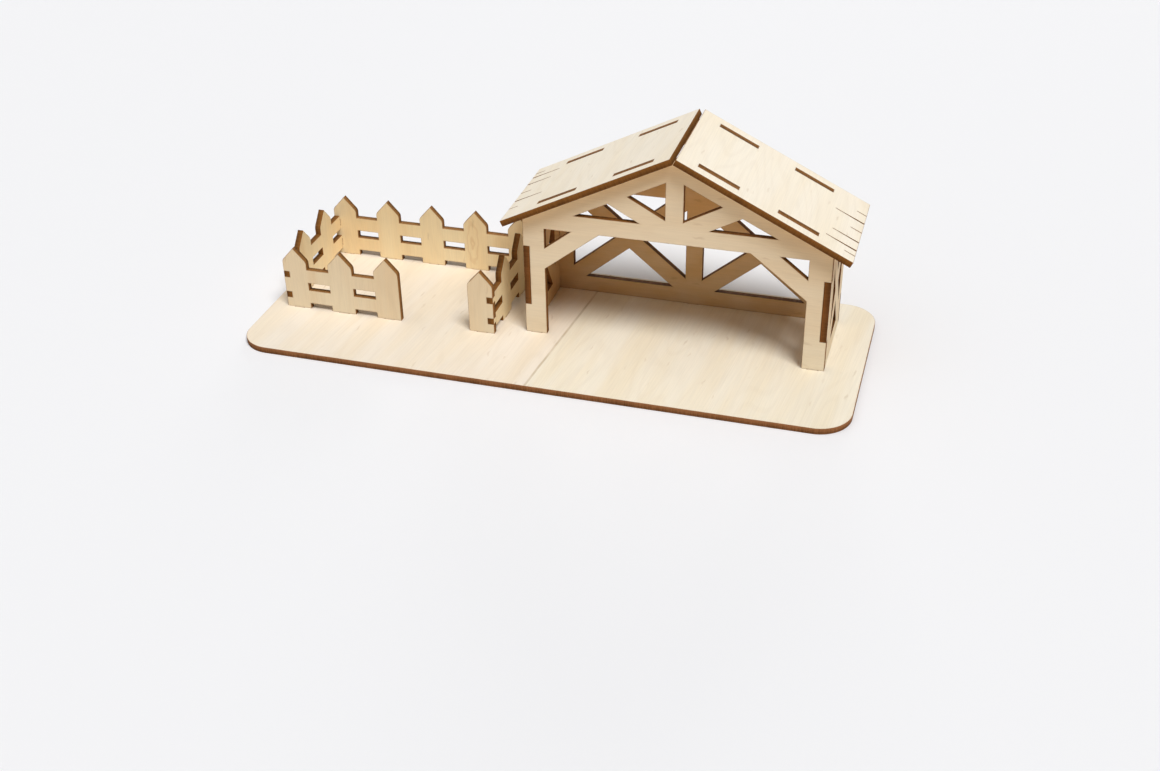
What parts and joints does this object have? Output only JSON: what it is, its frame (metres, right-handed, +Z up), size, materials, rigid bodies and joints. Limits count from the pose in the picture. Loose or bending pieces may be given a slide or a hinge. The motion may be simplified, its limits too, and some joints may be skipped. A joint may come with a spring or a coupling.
{
  "type": "nativity stable",
  "caption": "Slot-together plywood nativity stable with an open truss front, cross-braced back and sides, lift-off roof panels and a picket pen, on one rounded base plate.",
  "frame": {"origin": "middle of the base plate's underside", "axes": "+X along the plate, from the pen to the stable; +Y from the open front to the back; +Z up"},
  "size_m": [0.3, 0.1156, 0.1047],
  "materials": {
    "base_plywood": "raw sanded plywood with scorched cut edges",
    "frame_plywood": "raw sanded plywood with scorched cut edges",
    "roof_plywood": "raw sanded plywood with scorched cut edges",
    "fence_plywood": "raw sanded plywood with scorched cut edges"
  },
  "bodies": {
    "stable": {"base_plate": "base_plywood", "front_frame": "frame_plywood", "back_frame": "frame_plywood", "left_wall": "frame_plywood", "right_wall": "frame_plywood", "pen_back_fence": "fence_plywood", "pen_front_fence": "fence_plywood", "pen_gate_picket": "fence_plywood", "pen_left_fence": "fence_plywood", "pen_right_fence": "fence_plywood"},
    "left_roof": {"left_roof_panel": "roof_plywood"},
    "right_roof": {"right_roof_panel": "roof_plywood"}
  },
  "joints": [
    {"name": "left_roof_lift", "type": "slide", "parent": "stable", "child": "left_roof", "axis": [-0.4433, 0, 0.8964], "range_m": [0, 0.04]},
    {"name": "right_roof_lift", "type": "slide", "parent": "stable", "child": "right_roof", "axis": [0.4433, 0, 0.8964], "range_m": [0, 0.04]}
  ]
}
